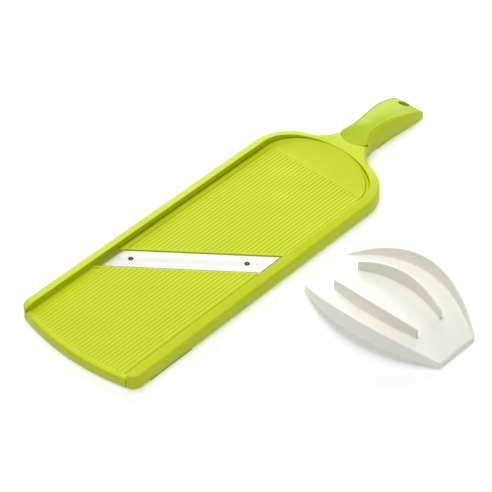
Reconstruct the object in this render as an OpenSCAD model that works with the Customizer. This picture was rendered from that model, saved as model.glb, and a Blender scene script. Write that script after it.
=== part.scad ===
// Hand-held mandoline slicer with its loose food guard lying beside it.
// Board coordinates: X across the board, Y from the blade centre towards the handle, Z up from the table.

/* [Board] */
// Overall width across the two rails
board_w = 110; // [104:1:120]
// Distance from the blade centre to the tip of the discharge end
front_reach = 120.5; // [118:0.1:130]
// Width of each rail, from its outer face to the channel
rail_w = 7.3; // [6.5:0.1:7.3]
// Height of the outer crease of the rails above the table
crease_h = 11.4; // [11:0.1:12]
// Height of the inner edge of the rails above the table
rim_h = 13.2; // [13:0.1:14]
// Wall thickness of the moulding
wall_t = 2.2; // [1.8:0.1:2.4]
// Plan radius of the two discharge corners
corner_r = 8; // [8:0.1:12]

/* [Channel] */
// Height of the smooth gutters beside the ribs
gutter_z = 6.9; // [6.7:0.1:7.1]
// Height of the crests of the run-off ribs
deck_top = 8; // [7.8:0.1:8.2]
// Distance between neighbouring ribs
rib_pitch = 2.96; // [2.6:0.02:3.4]
// Number of ribs across the channel
rib_count = 29; // [25:2:31]
// Depth of the valleys between the ribs
rib_depth = 0.6; // [0.3:0.1:0.7]

/* [Blade] */
// Angle of the blade to the X axis
blade_angle = 38.5; // [30:0.5:40]
// Width of the blade across its length
blade_w = 17.2; // [14:0.1:18]
// Thickness of the blade
blade_t = 1.2; // [0.8:0.1:1.3]
// Width of the slot in front of the cutting edge
slot_w = 1.9; // [1.5:0.1:3]

/* [Handle] */
// Distance from the blade centre to the end of the handle
handle_reach = 247; // [240:1:252]
// Height of the crest of the handle
handle_crest = 18.5; // [16:0.1:20]
// Radius of the hanging hole
hang_r = 4.5; // [3:0.1:5]

/* [Thickness adjuster] */
// Turn of the knob from the thinnest to the thickest setting, in degrees
knob_turn = 270; // [180:10:280]
// Drop of the run-up plate at the slot over the whole turn
lip_drop = 2.5; // [1.5:0.1:2.6]

/* [Guard] */
// Length of the guard, across the board
guard_l = 118.5; // [116:0.5:124]
// Height of the guard's ends
guard_end_h = 4.3; // [4:0.1:6]
// Rise of the guard's plate from its ends to its middle
guard_arch = 9.5; // [8:0.1:12]
// Number of spikes along the guard
spike_cols = 5; // [3:2:5]

/* [Hidden] */

half_w = board_w / 2;
channel_x = half_w - rail_w;
rim_rise = rim_h - crease_h;
rim_over = 0.6;
base_z = 0.5;
tall = 40;
wide = 60;

// Discharge end: one shallow arc that runs tangent into the two corner arcs.
corner_x = half_w - corner_r;
corner_y = -106.3;
corner_dy = front_reach + corner_y;
front_r = (corner_x * corner_x + corner_dy * corner_dy - corner_r * corner_r) / (2 * (corner_dy - corner_r));
front_cy = front_r - front_reach;
front_a = atan2(corner_y - front_cy, corner_x);

// Handle end: two shoulder arcs and two hollow arcs that lead into the neck.
shoulder_r = 34;
shoulder_x = half_w - shoulder_r;
shoulder_y = 128.4;
neck_r = 30.4;
neck_half = 10.6;
neck_x = neck_half + neck_r;
neck_y = shoulder_y + sqrt(pow(shoulder_r + neck_r, 2) - pow(neck_x - shoulder_x, 2));
neck_a = atan2(neck_y - shoulder_y, neck_x - shoulder_x);

// Smooth bands that frame the run-off ribs.
deck_half = rib_pitch * rib_count / 2;
deck_margin = 0.5;
front_band = 3.5;
bed_band = 2;

// Window in the frame: the run-up plate and the slot.
ledge_x = 43.9;
plate_gap = 0.4;
plate_x = ledge_x - plate_gap;
scoop_y = 131;
scoop_rim = 29.6;
scoop_hole = 29.2;
scoop_len = scoop_hole - plate_gap;
floor_z = 5.2;

// Lines parallel to the blade, each given by its Y where X is 0.
skew = tan(blade_angle);
edge_y = blade_w / 2 / cos(blade_angle);
lip_y = edge_y + slot_w / cos(blade_angle);
bed_y = edge_y - 5;
blade_x = 43.5;
blade_top = gutter_z + blade_t;
rivet_x = 32.1;
rivet_shift = -1.4;
function rivet_at(side) = side * rivet_x + rivet_shift;
rivet_r = 1.25;
rivet_head_r = 1.95;
rivet_head_h = 0.7;
rivet_foot_r = 2;
rivet_z0 = 3.6;
rivet_washer_r = 3.2;

// Run-up plate and its hinge.
plate_top = 7.3;
plate_skin_z = 5.3;
plate_end_z = 13;
plate_land = 2;
scoop_t = 1.8;
scoop_power = 1.7;
hinge_y = 145;
hinge_z = 3.2;
hinge_r = 1.5;
hinge_fit = 0.06;
rod_half = 44.5;
ear_x0 = 35.5;
ear_x1 = 46;
ear_half = 4;
ear_z0 = 1.2;
knuckle_x = 29.5;
knuckle_half = 3.5;
knuckle_r = 2.7;
plate_tilt = asin(lip_drop / (hinge_y - lip_y));

// Adjuster: a knob in the web under the plate, with a ramp that carries the plate's foot.
knob_y = 85;
web_z0 = 0.8;
web_z1 = 1.6;
web_half = 21;
knob_bore_r = 15;
knob_z0 = 0.6;
knob_r = 14.92;
knob_grip_half = 1.8;
knob_grip_r = 12.5;
notch_r = 0.9;
flange_r = 16.8;
flange_gap = 0.6;
flange_z0 = 1.7;
flange_z1 = 2.3;
foot_ring_r = 11;
foot_r = 1.5;
foot_gap = 0.1;
ramp_r0 = 8.5;
ramp_r1 = 13.5;
ramp_top = 3.75;
ramp_drop = (hinge_y - knob_y + foot_ring_r) * sin(plate_tilt);
ramp_margin = 12;
retainer_z = 2.4;
retainer_t = 0.6;
retainer_r0 = 15.6;
retainer_r1 = 21;
screw_ring_r = 19.2;
screw_ring_angles = [30, 150, 270];
screw_r = 0.8;
screw_fit = 0.05;

// Handle: a flare at the neck, a narrow waist, a fuller end and a crowned top.
neck_end_y = 171;
end_half = 13.1;
belly_y0 = 194;
belly_y1 = 236;
crest_y = 202;
crest_fall = 3.75;
crest_run = 24;
crest_power = 1.7;
tip_fall = 12.6;
tip_run = 44;
tip_power = 1.87;
tip_r = 5;
neck_step = 0.25;
cover_t = 1.8;
seam_r = 15.7;
seam_y = 186.7;
hang_y = 236;
hang_wall = 2;
hollow_y = 176;
handle_screw_ys = [200, 218];

// Low rubber feet under the handle and the rails.
foot_w = 2;
handle_foot_x = 9.5;
handle_foot_y = 192;
handle_foot_l = 16;
front_foot_inset = 1.1;
front_foot_y = -98;
front_foot_l = 40;

// Guard, in its own coordinates: U along its length, V across it.
guard_x = 132.2;
guard_y = 59.3;
guard_yaw = -1.1;
guard_half = guard_l / 2;
guard_end_w = 20.8;
guard_taper = 2.2;
guard_bow = 20.2;
guard_skin = 2;
guard_lip = 0.3;
guard_wall_rise = 10.6;
guard_wall_t = 1.8;
guard_foot_t = 2.8;
guard_hem = 10.4;
guard_hem_w = 2;
guard_hem_rise = 0.1;
flange_t = 2;
fin_half = 37;
fin_u = -2;
fin_v = -1.5;
fin_t = 1.8;
fin_end_v = 13.5;
fin_bow = 6.5;
fin_end_rise = 7.4;
fin_arch = 4.2;
fin_root = 1.2;
spike_plate_z = 6.9;
spike_plate_t = 2.4;
spike_plate_top = spike_plate_z + spike_plate_t;
spike_plate_l = 56;
spike_plate_w = 30;
spike_plate_r = 6;
spike_gap = 11;
spike_r = 0.8;
spike_point_r = 0.15;
spike_point_h = 2.2;
spike_tip_z = 1;
guard_screw_u = 16.5;
guard_screw_r = 0.9;
guard_boss_r = 3;

// The origin lies under the middle of the whole set, board and guard together.
guard_right = guard_x + guard_half * cos(guard_yaw) - (guard_end_w - guard_taper) * sin(guard_yaw);
origin_x = (guard_right - half_w) / 2;
origin_y = (handle_reach - front_reach) / 2;

green = [0.75, 0.84, 0.24];
steel = [0.8, 0.8, 0.8];
grey = [0.3, 0.3, 0.3];
white = [0.95, 0.95, 0.93];

// ---------- shapes ----------

function arc_points(cx, cy, r, a0, a1, n) =
    [for (i = [0 : n]) let (a = a0 + (a1 - a0) * i / n) [cx + r * cos(a), cy + r * sin(a)]];

function mirrored(pts) = [for (i = [len(pts) - 1 : -1 : 0]) [-pts[i][0], pts[i][1]]];

// Right half of the board's outline, moved in by d; the inset narrows in two steps towards the neck.
shoulder_inset = 0.68;
neck_inset = 0.41;
function outline_half(d) = concat(
    arc_points(0, front_cy, front_r - d, -90, front_a, 10),
    arc_points(corner_x, corner_y, corner_r - d, front_a, 0, 8),
    arc_points(shoulder_x, shoulder_y, shoulder_r - d, 0, neck_a / 2, 8),
    arc_points(shoulder_x, shoulder_y, shoulder_r - d * shoulder_inset, neck_a * 0.6, neck_a, 6),
    arc_points(neck_x, neck_y, neck_r + d * neck_inset, neck_a + 180, 180, 6)
);
function outline(d) = concat(outline_half(d), mirrored(outline_half(d)));

function scoop_arc(a, b) = [for (i = [0 : 24]) let (t = 180 * i / 24) [a * cos(t), scoop_y + b * sin(t)]];

// Closed solid through rings of equal length, each ring at its own height.
module loft(rings, heights) {
    n = len(rings[0]);
    pts = [for (k = [0 : len(rings) - 1]) for (p = rings[k]) [p[0], p[1], heights[k]]];
    sides = [for (k = [0 : len(rings) - 2]) for (i = [0 : n - 1]) for (h = [0, 1])
        let (j = (i + 1) % n)
        h == 0 ? [k * n + i, k * n + n + i, k * n + j] : [k * n + j, k * n + n + i, k * n + n + j]];
    top = [for (i = [n - 1 : -1 : 0]) (len(rings) - 1) * n + i];
    bottom = [for (i = [0 : n - 1]) i];
    polyhedron(pts, concat(sides, [top, bottom]));
}

// One rib from valley to crest, in fractions of the pitch and of the depth.
rib_shape = [[-0.5, -1], [-0.26, -0.25], [0, 0], [0.26, -0.25]];

// A sheet of ribs along Y: a wavy top over a flat underside.
module ribbed_sheet(z0, z_crest) {
    wave = [for (i = [0 : rib_count - 1]) for (q = rib_shape)
        [(i + 0.5 + q[0]) * rib_pitch - deck_half, z_crest + q[1] * rib_depth]];
    edge = [[deck_half, z_crest - rib_depth], [deck_half, z0], [-deck_half, z0]];
    translate([0, 300, 0]) rotate([90, 0, 0]) linear_extrude(600) polygon(concat(wave, edge));
}

// Plan area between two lines parallel to the blade, x from -half to half.
module skew_band(y0, y1, half) {
    polygon([
        [-half, y0 - skew * half],
        [half, y0 + skew * half],
        [half, y1 + skew * half],
        [-half, y1 - skew * half]
    ]);
}

// A profile in Y and Z, extruded across the board.
module across(half) {
    translate([-half, 0, 0]) rotate([90, 0, 90]) linear_extrude(2 * half) children();
}

module pan_screw(x, y, z0, z1, r) {
    translate([x, y, z0]) cylinder(h = 0.8, r = r * 2, $fn = 24);
    translate([x, y, z0]) cylinder(h = z1 - z0, r = r, $fn = 24);
}

// ---------- board ----------

module channel_plan() {
    polygon(concat([[-channel_x, -150], [channel_x, -150]], scoop_arc(channel_x, scoop_rim)));
}

module window_plan() {
    polygon(concat(
        [[-ledge_x, bed_y - skew * ledge_x], [ledge_x, bed_y + skew * ledge_x]],
        scoop_arc(ledge_x, scoop_hole)
    ));
    for (side = [-1, 1]) end_pocket(side);
}

// Opening between one end of the blade and the rail; the bed under the blade stays between the two.
module end_pocket(side) {
    intersection() {
        skew_band(-edge_y, lip_y, channel_x);
        translate([side > 0 ? blade_x : -channel_x, -100]) square([channel_x - blade_x, 200]);
    }
}

module under_plan() {
    reach = channel_x - wall_t;
    intersection() {
        polygon(outline(wall_t));
        polygon(concat([[-reach, -150], [reach, -150]], scoop_arc(reach, scoop_rim - wall_t)));
    }
}

module shoulder_hollow_plan() {
    difference() {
        polygon(outline(wall_t));
        translate([-100, -200]) square([200, 200 + shoulder_y]);
        translate([-100, 160]) square([200, 100]);
        polygon(concat([[-channel_x - wall_t, 100], [channel_x + wall_t, 100]],
            scoop_arc(channel_x + wall_t, scoop_rim + wall_t)));
    }
}

// The board's shell: rails, gutters, shoulders and neck.
module board_shell() {
    rail_hollow = rail_w - 2 * wall_t;
    difference() {
        loft([outline(0), outline(0), outline(rail_w + rim_over)],
            [-1, crease_h, rim_h + rim_over * rim_rise / rail_w]);
        translate([-100, -200, rim_h]) cube([200, 500, tall]);
        translate([-100, -200, base_z - tall]) cube([200, 500, tall]);
        translate([0, 0, gutter_z]) linear_extrude(tall) channel_plan();
        translate([0, 0, -tall]) linear_extrude(tall + floor_z) under_plan();
        translate([0, 0, -tall]) linear_extrude(tall + rim_h - 2.4) shoulder_hollow_plan();
        translate([0, 0, -tall]) linear_extrude(2 * tall) window_plan();
        for (side = [-1, 1])
            translate([side * (half_w - rail_w / 2) - rail_hollow / 2, corner_y, -1])
                cube([rail_hollow, shoulder_y - corner_y, crease_h - wall_t + 1]);
        handle_hollow();
        cover_space();
    }
}

// Room for the front of the handle's cover, inside the seam circle.
module cover_space() {
    intersection() {
        translate([0, seam_y, 0]) cylinder(h = tall, r = seam_r, $fn = 72);
        across(wide) polygon(concat(cover_line, [[handle_reach, tall], [neck_end_y, tall]]));
    }
}

module deck_area() {
    intersection() {
        polygon(outline(front_band));
        skew_band(-300, -edge_y - bed_band, deck_half);
    }
}

// Ribbed run-off deck, with a smooth band along the discharge end and behind the blade.
module run_off_deck() {
    intersection() {
        ribbed_sheet(floor_z, deck_top);
        linear_extrude(tall) deck_area();
    }
    translate([0, 0, floor_z]) linear_extrude(deck_top - floor_z) difference() {
        intersection() {
            polygon(outline(deck_margin));
            translate([-channel_x, -150]) square([2 * channel_x, 60]);
        }
        polygon(outline(front_band));
    }
    translate([0, 0, floor_z]) linear_extrude(deck_top - floor_z)
        skew_band(-edge_y - bed_band, -edge_y - 0.1, deck_half);
}

// Web under the run-up plate that carries the adjuster, with a raised ring round its bore.
module adjuster_web() {
    difference() {
        union() {
            translate([-channel_x - 0.5, knob_y - web_half, web_z0])
                cube([2 * channel_x + 1, 2 * web_half, web_z1 - web_z0]);
            translate([0, knob_y, web_z0]) difference() {
                cylinder(h = retainer_z - web_z0, r = retainer_r1, $fn = 72);
                translate([0, 0, -1]) cylinder(h = 5, r = flange_r + flange_gap, $fn = 72);
            }
        }
        translate([0, knob_y, -1]) cylinder(h = 10, r = knob_bore_r, $fn = 72);
        for (a = screw_ring_angles)
            translate([0, knob_y, 0]) rotate([0, 0, a]) translate([screw_ring_r, 0, -1])
                cylinder(h = 10, r = screw_r, $fn = 24);
    }
}

module hinge_ears() {
    for (side = [-1, 1])
        translate([side > 0 ? ear_x0 : -ear_x1, hinge_y - ear_half, ear_z0])
            cube([ear_x1 - ear_x0, 2 * ear_half, floor_z - ear_z0]);
}

// Round bar along X on the hinge's axis, for the rod and for the bores that take it.
module hinge_bar(half, r) {
    translate([-half, hinge_y, hinge_z]) rotate([0, 90, 0]) cylinder(h = 2 * half, r = r, $fn = 32);
}

// ---------- handle ----------

function ease(t) = let (u = max(0, min(1, t))) u * u * (3 - 2 * u);

function handle_half(y) =
    y < neck_y ? neck_x - neck_step - sqrt(neck_r * neck_r - pow(neck_y - y, 2))
    : y < handle_reach - tip_r ? neck_half + (end_half - neck_half) * ease((y - belly_y0) / (belly_y1 - belly_y0))
    : end_half - tip_r + sqrt(max(0, tip_r * tip_r - pow(y - handle_reach + tip_r, 2)));

function handle_top(y) = y < crest_y
    ? handle_crest - crest_fall * pow((crest_y - y) / crest_run, crest_power)
    : handle_crest - tip_fall * pow((y - crest_y) / tip_run, tip_power);

handle_ys = concat(
    [for (y = [neck_end_y : 3 : handle_reach - 7]) y],
    [for (a = [0 : 15 : 90]) handle_reach - tip_r + tip_r * sin(a)]
);

// Line between the cover and the body, seen from the side.
cover_line = [for (y = handle_ys) [y, handle_top(y) - cover_t]];

module handle_plan(d) {
    right = [for (y = handle_ys) [handle_half(y) - d, min(y, handle_reach - d)]];
    polygon(concat(right, mirrored(right)));
}

// Space inside the handle and under the neck, open underneath.
module handle_hollow() {
    intersection() {
        translate([0, 0, -1]) linear_extrude(tall) handle_plan(wall_t);
        across(wide) polygon(concat([[hollow_y, -1]],
            [for (y = [hollow_y : 4 : 240]) [y, handle_top(y) - cover_t - wall_t]],
            [[241, -1]]));
    }
}

// Whole handle, from its underside up to its crest line.
module handle_block() {
    intersection() {
        translate([0, 0, base_z]) linear_extrude(tall) handle_plan(0);
        across(wide) polygon(concat([[neck_end_y, -1]],
            [for (y = handle_ys) [y, handle_top(y)]],
            [[handle_reach, -1]]));
    }
}

// Lower body of the handle, open underneath, with a boss round the hanging hole.
module handle_body() {
    difference() {
        intersection() {
            handle_block();
            across(wide) polygon(concat(cover_line, [[handle_reach + 1, -1], [neck_end_y, -1]]));
        }
        difference() {
            handle_hollow();
            translate([0, hang_y, -2]) cylinder(h = tall, r = hang_r + hang_wall, $fn = 48);
        }
        hang_bore();
        for (y = handle_screw_ys) translate([0, y, 0]) cylinder(h = tall, r = 1.5 * screw_r, $fn = 24);
    }
}

module hang_bore() {
    translate([0, hang_y, -1]) cylinder(h = tall, r = hang_r, $fn = 48);
}

module board_frame() {
    color(green) placed() {
        difference() {
            union() {
                board_shell();
                run_off_deck();
                hinge_ears();
            }
            for (side = [-1, 1])
                translate([rivet_at(side), rivet_at(side) * skew, 0]) cylinder(h = 20, r = rivet_r, $fn = 32);
            hinge_bar(ear_x1, hinge_r);
        }
        adjuster_web();
        handle_body();
    }
}

// Soft top of the handle.
module handle_cover() {
    color(green) placed() difference() {
        intersection() {
            handle_block();
            across(wide) polygon(concat(cover_line, [[handle_reach + 1, tall], [neck_end_y, tall]]));
            union() {
                translate([0, seam_y, 0]) cylinder(h = tall, r = seam_r, $fn = 72);
                translate([-wide, seam_y - 8, 0]) cube([2 * wide, 100, tall]);
            }
        }
        hang_bore();
        for (y = handle_screw_ys)
            translate([0, y, 0]) cylinder(h = handle_top(y) - 0.8, r = screw_r, $fn = 24);
    }
}

// Two screws that hold the cover from below.
module handle_screws() {
    color(steel) placed() for (y = handle_screw_ys)
        pan_screw(0, y, handle_top(y) - cover_t - wall_t - 1.3, handle_top(y) - 0.9, screw_r);
}

module foot_strip(x, y, length) {
    color(grey) placed() translate([x - foot_w / 2, y, 0]) cube([foot_w, length, base_z]);
}

module handle_foot_left() {
    foot_strip(-handle_foot_x, handle_foot_y, handle_foot_l);
}

module handle_foot_right() {
    foot_strip(handle_foot_x, handle_foot_y, handle_foot_l);
}

module front_foot_left() {
    foot_strip(front_foot_inset - half_w, front_foot_y, front_foot_l);
}

module front_foot_right() {
    foot_strip(half_w - front_foot_inset, front_foot_y, front_foot_l);
}

// ---------- blade ----------

module blade() {
    half = blade_w / 2;
    color(steel) placed() difference() {
        intersection() {
            rotate([0, 0, blade_angle]) translate([-80, 0, 0]) rotate([90, 0, 90]) linear_extrude(160)
                polygon([
                    [-half, gutter_z],
                    [half - 2, gutter_z],
                    [half, blade_top - 0.35],
                    [half - 0.8, blade_top],
                    [-half, blade_top]
                ]);
            translate([-blade_x, -80, 0]) cube([2 * blade_x, 160, 20]);
        }
        for (side = [-1, 1])
            translate([rivet_at(side), rivet_at(side) * skew, 0]) {
                cylinder(h = 20, r = rivet_r, $fn = 32);
                translate([0, 0, blade_top - rivet_head_h])
                    cylinder(h = 0.8, r1 = rivet_r, r2 = rivet_head_r + 0.15, $fn = 32);
            }
    }
}

module blade_rivets() {
    color(steel) placed() for (side = [-1, 1])
        translate([rivet_at(side), rivet_at(side) * skew, 0]) {
            translate([0, 0, rivet_z0])
                cylinder(h = blade_top - rivet_z0 - 0.05, r = rivet_r - 0.02, $fn = 32);
            translate([0, 0, blade_top - rivet_head_h])
                cylinder(h = rivet_head_h - 0.05, r1 = rivet_r - 0.02, r2 = rivet_head_r, $fn = 32);
            translate([0, 0, rivet_z0]) cylinder(h = 0.8, r = rivet_foot_r, $fn = 32);
        }
}

module rivet_washers() {
    color(steel) placed() for (side = [-1, 1])
        translate([rivet_at(side), rivet_at(side) * skew, 4.45]) difference() {
            cylinder(h = floor_z - 4.5, r = rivet_washer_r, $fn = 32);
            translate([0, 0, -1]) cylinder(h = 4, r = rivet_r + 0.05, $fn = 32);
        }
}

// ---------- run-up plate ----------

function scoop_z(y) = plate_top + (plate_end_z - plate_top) * pow((y - scoop_y) / scoop_len, scoop_power);

module plate_plan() {
    polygon(concat(
        [[-plate_x, lip_y - skew * plate_x], [plate_x, lip_y + skew * plate_x]],
        scoop_arc(plate_x, scoop_len)
    ));
}

module plate_scoop() {
    ys = [for (i = [0 : 12]) scoop_y - 0.5 + (scoop_len + 0.5) * i / 12];
    intersection() {
        linear_extrude(tall) polygon(scoop_arc(plate_x, scoop_len));
        across(wide) polygon(concat(
            [for (y = ys) [y, scoop_z(max(y, scoop_y))]],
            [for (i = [12 : -1 : 0]) [ys[i], scoop_z(max(ys[i], scoop_y)) - scoop_t]]
        ));
    }
}

module run_up_plate() {
    color(green) placed() {
        difference() {
            union() {
                translate([0, 0, plate_skin_z]) linear_extrude(plate_top - rib_depth - plate_skin_z)
                    intersection() {
                        plate_plan();
                        translate([-wide, -100]) square([2 * wide, 100 + scoop_y + 2]);
                    }
                intersection() {
                    ribbed_sheet(plate_skin_z, plate_top);
                    linear_extrude(tall) intersection() {
                        skew_band(lip_y + plate_land, 400, deck_half);
                        translate([-wide, -100]) square([2 * wide, 100 + scoop_y + 2.4]);
                    }
                }
                translate([0, 0, plate_skin_z]) linear_extrude(plate_top - plate_skin_z)
                    skew_band(lip_y, lip_y + plate_land, plate_x);
                plate_scoop();
                for (side = [-1, 1]) plate_knuckle(side);
            }
            hinge_bar(wide, hinge_r + hinge_fit);
        }
        translate([0, knob_y - foot_ring_r, ramp_top + foot_gap])
            cylinder(h = plate_skin_z - ramp_top, r = foot_r, $fn = 32);
    }
}

module plate_knuckle(side) {
    translate([side * knuckle_x - knuckle_half, hinge_y, hinge_z]) {
        rotate([0, 90, 0]) cylinder(h = 2 * knuckle_half, r = knuckle_r, $fn = 32);
        translate([0, -2.5, 0]) cube([2 * knuckle_half, 5, 4.8]);
    }
}

module plate_hinge_rod() {
    color(steel) placed() hinge_bar(rod_half, hinge_r);
}

// Torsion spring round the hinge rod that presses the plate's foot onto the ramp.
module plate_spring() {
    coil_gap = 0.95;
    coil_r = hinge_r + 0.55;
    leg_z = 0.45;
    leg_y = -14;
    color(steel) placed() translate([0, hinge_y, hinge_z]) {
        for (i = [-3 : 3]) translate([i * coil_gap, 0, 0]) rotate([0, 90, 0])
            rotate_extrude($fn = 36) translate([coil_r, 0]) circle(r = 0.45, $fn = 16);
        translate([-3 * coil_gap, leg_y, leg_z]) rotate([-90, 0, 0])
            cylinder(h = -coil_r - leg_y, r = 0.4, $fn = 16);
    }
}

// ---------- adjuster ----------

// Height of the ramp, falling by its drop over the knob's whole turn.
function ramp_z(a) = ramp_top - ramp_drop * max(0, min(1, a / knob_turn));

module ramp() {
    n = 48;
    span = knob_turn + 2 * ramp_margin;
    a0 = -90 + ramp_margin;
    ring = [for (i = [0 : n]) let (a = a0 - span * i / n, z = ramp_z(span * i / n - ramp_margin))
        for (p = [[ramp_r0, flange_z0], [ramp_r1, flange_z0], [ramp_r1, z], [ramp_r0, z]])
        [p[0] * cos(a), p[0] * sin(a), p[1]]];
    sides = [for (i = [0 : n - 1]) for (k = [0 : 3]) for (h = [0, 1])
        let (p = i * 4 + k, q = i * 4 + (k + 1) % 4)
        h == 0 ? [p, p + 4, q] : [q, p + 4, q + 4]];
    polyhedron(ring, concat(sides, [[0, 1, 2, 3], [4 * n + 3, 4 * n + 2, 4 * n + 1, 4 * n]]));
}

module adjuster_knob() {
    color(grey) placed() translate([0, knob_y, 0]) {
        difference() {
            union() {
                translate([0, 0, knob_z0]) cylinder(h = flange_z1 - knob_z0, r = knob_r, $fn = 72);
                translate([0, 0, flange_z0]) cylinder(h = flange_z1 - flange_z0, r = flange_r, $fn = 72);
            }
            for (side = [-1, 1]) intersection() {
                translate([0, 0, -1]) cylinder(h = 2.5, r = knob_grip_r, $fn = 48);
                translate([side > 0 ? knob_grip_half : -knob_grip_half - 20, -20, -1]) cube([20, 40, 2.5]);
            }
            for (a = [0 : 3]) rotate([0, 0, 180 + a * knob_turn / 3])
                translate([flange_r + 0.4, 0, 0]) cylinder(h = 5, r = notch_r, $fn = 24);
        }
        ramp();
    }
}

module adjuster_retainer() {
    color(steel) placed() translate([0, knob_y, retainer_z]) difference() {
        cylinder(h = retainer_t, r = retainer_r1, $fn = 72);
        translate([0, 0, -1]) cylinder(h = 3, r = retainer_r0, $fn = 72);
        for (a = screw_ring_angles) rotate([0, 0, a]) translate([screw_ring_r, 0, -1])
            cylinder(h = 3, r = screw_r + screw_fit, $fn = 24);
    }
}

module retainer_screws() {
    color(steel) placed() translate([0, knob_y, 0]) for (a = screw_ring_angles) rotate([0, 0, a])
        translate([screw_ring_r, 0, 0]) {
            translate([0, 0, web_z0])
                cylinder(h = retainer_z + retainer_t - web_z0, r = screw_r - 0.02, $fn = 24);
            translate([0, 0, retainer_z + retainer_t]) cylinder(h = 0.35, r = 1.5, $fn = 24);
        }
}

// Sprung nose beside the knob's flange.
module detent_spring() {
    color(steel) placed() translate([0, knob_y, 0]) {
        translate([0, 0, web_z1 + 0.15]) rotate([0, 0, 165]) rotate_extrude(angle = 30, $fn = 96)
            translate([flange_r + 0.3, 0]) square([0.28, 0.6]);
        translate([-flange_r - 0.32, 0, web_z1 + 0.15]) cylinder(h = 0.6, r = 0.26, $fn = 24);
    }
}

// ---------- guard ----------

module guard_place() {
    placed() translate([guard_x, guard_y, 0]) rotate([0, 0, guard_yaw]) children();
}

function bump(u) = 1 - pow(u / guard_half, 2);
function guard_w(u) = guard_end_w - guard_taper * u / guard_half + guard_bow * bump(u);
function guard_z(u) = guard_end_h + guard_arch * bump(u);

// Section across the guard: hem, wall, plate, wall, hem, then the underside back.
// At its two ends the plate is closed down to the table by a flange.
function guard_section(u, shut) = let (
    w = guard_w(u),
    zp = guard_z(u),
    zw = zp + guard_lip + guard_wall_rise * bump(u),
    zh = guard_lip + guard_hem * bump(u),
    under = shut ? 0 : zp - guard_skin,
    half = [
        [w - guard_foot_t, zp], [w - guard_wall_t, zw], [w, zw], [w, zh],
        [w - guard_hem_w, zh + guard_hem_rise], [w - guard_hem_w - 0.4, under]
    ]
) concat(half, mirrored(half));

module guard_arch_shell() {
    n = 30;
    inner = guard_half - flange_t - 0.02;
    us = concat(
        [-guard_half, flange_t - guard_half],
        [for (i = [0 : n]) -inner + 2 * inner * i / n],
        [guard_half - flange_t, guard_half]
    );
    last = len(us) - 1;
    sections = [for (u = us) guard_section(u, abs(u) > inner + 0.01)];
    m = len(sections[0]);
    pts = [for (i = [0 : last]) for (p = sections[i]) [us[i], p[0], p[1]]];
    sides = [for (i = [0 : last - 1]) for (k = [0 : m - 1]) for (h = [0, 1])
        let (p = i * m + k, q = i * m + (k + 1) % m)
        h == 0 ? [p, q, p + m] : [q, q + m, p + m]];
    start = [for (k = [m - 1 : -1 : 0]) k];
    end = [for (k = [0 : m - 1]) last * m + k];
    polyhedron(pts, concat(sides, [start, end]));
}

function fin_v_out(u) = fin_end_v + fin_bow * (1 - pow(u / fin_half, 2));

// Two upright grips, bowed outwards.
module guard_fins() {
    us = [for (i = [0 : 16]) -fin_half + 2 * fin_half * i / 16];
    intersection() {
        translate([fin_u, fin_v, 0]) linear_extrude(tall) for (side = [-1, 1]) polygon(concat(
            [for (u = us) [u, side * fin_v_out(u)]],
            [for (i = [16 : -1 : 0]) [us[i], side * (fin_v_out(us[i]) - fin_t)]]
        ));
        translate([0, wide, 0]) rotate([90, 0, 0]) linear_extrude(2 * wide) polygon(concat(
            [for (u = us) [u + fin_u, guard_z(u) + fin_end_rise + fin_arch * (1 - pow(u / fin_half, 2))]],
            [for (i = [16 : -1 : 0]) [us[i] + fin_u, guard_z(us[i]) - fin_root]]
        ));
    }
}

module guard_shell() {
    color(white) guard_place() difference() {
        union() {
            guard_arch_shell();
            guard_fins();
            for (side = [-1, 1]) translate([side * guard_screw_u, 0, spike_plate_top])
                cylinder(h = guard_z(guard_screw_u) - 1 - spike_plate_top, r = guard_boss_r, $fn = 32);
        }
        for (side = [-1, 1]) translate([side * guard_screw_u, 0, 0])
            cylinder(h = guard_z(guard_screw_u) - 1.5, r = guard_screw_r, $fn = 24);
    }
}

function spike_u(i) = (i - (spike_cols - 1) / 2) * spike_gap;

module guard_spike_plate() {
    half_l = spike_plate_l / 2;
    in_l = half_l - spike_plate_r;
    in_w = spike_plate_w / 2 - spike_plate_r;
    color(white) guard_place() difference() {
        translate([0, 0, spike_plate_z]) {
            translate([-half_l, -in_w, 0]) cube([2 * half_l, 2 * in_w, spike_plate_t]);
            translate([-in_l, -spike_plate_w / 2, 0]) cube([2 * in_l, spike_plate_w, spike_plate_t]);
            for (x = [-in_l, in_l]) for (y = [-in_w, in_w])
                translate([x, y, 0]) cylinder(h = spike_plate_t, r = spike_plate_r, $fn = 48);
        }
        for (side = [-1, 1]) translate([side * guard_screw_u, 0, 0])
            cylinder(h = 20, r = guard_screw_r + 0.1, $fn = 24);
        for (i = [0 : spike_cols - 1]) for (j = [-1 : 1])
            translate([spike_u(i), j * spike_gap, 0]) cylinder(h = 20, r = spike_r, $fn = 24);
    }
}

module guard_spikes() {
    color(steel) guard_place() for (i = [0 : spike_cols - 1]) for (j = [-1 : 1])
        translate([spike_u(i), j * spike_gap, spike_tip_z]) {
            cylinder(h = spike_point_h, r1 = spike_point_r, r2 = spike_r, $fn = 24);
            translate([0, 0, spike_point_h])
                cylinder(h = spike_plate_top - spike_tip_z - spike_point_h, r = spike_r, $fn = 24);
        }
}

module spike_plate_screws() {
    color(steel) guard_place() for (side = [-1, 1])
        pan_screw(side * guard_screw_u, 0, spike_plate_z - 0.8, guard_z(guard_screw_u) - 1.6, guard_screw_r);
}

module placed() {
    translate([-origin_x, -origin_y, 0]) children();
}

board_frame();
handle_cover();
handle_screws();
handle_foot_left();
handle_foot_right();
front_foot_left();
front_foot_right();
blade();
blade_rivets();
rivet_washers();
run_up_plate();
plate_hinge_rod();
plate_spring();
adjuster_knob();
adjuster_retainer();
retainer_screws();
detent_spring();
guard_shell();
guard_spike_plate();
guard_spikes();
spike_plate_screws();
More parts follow.
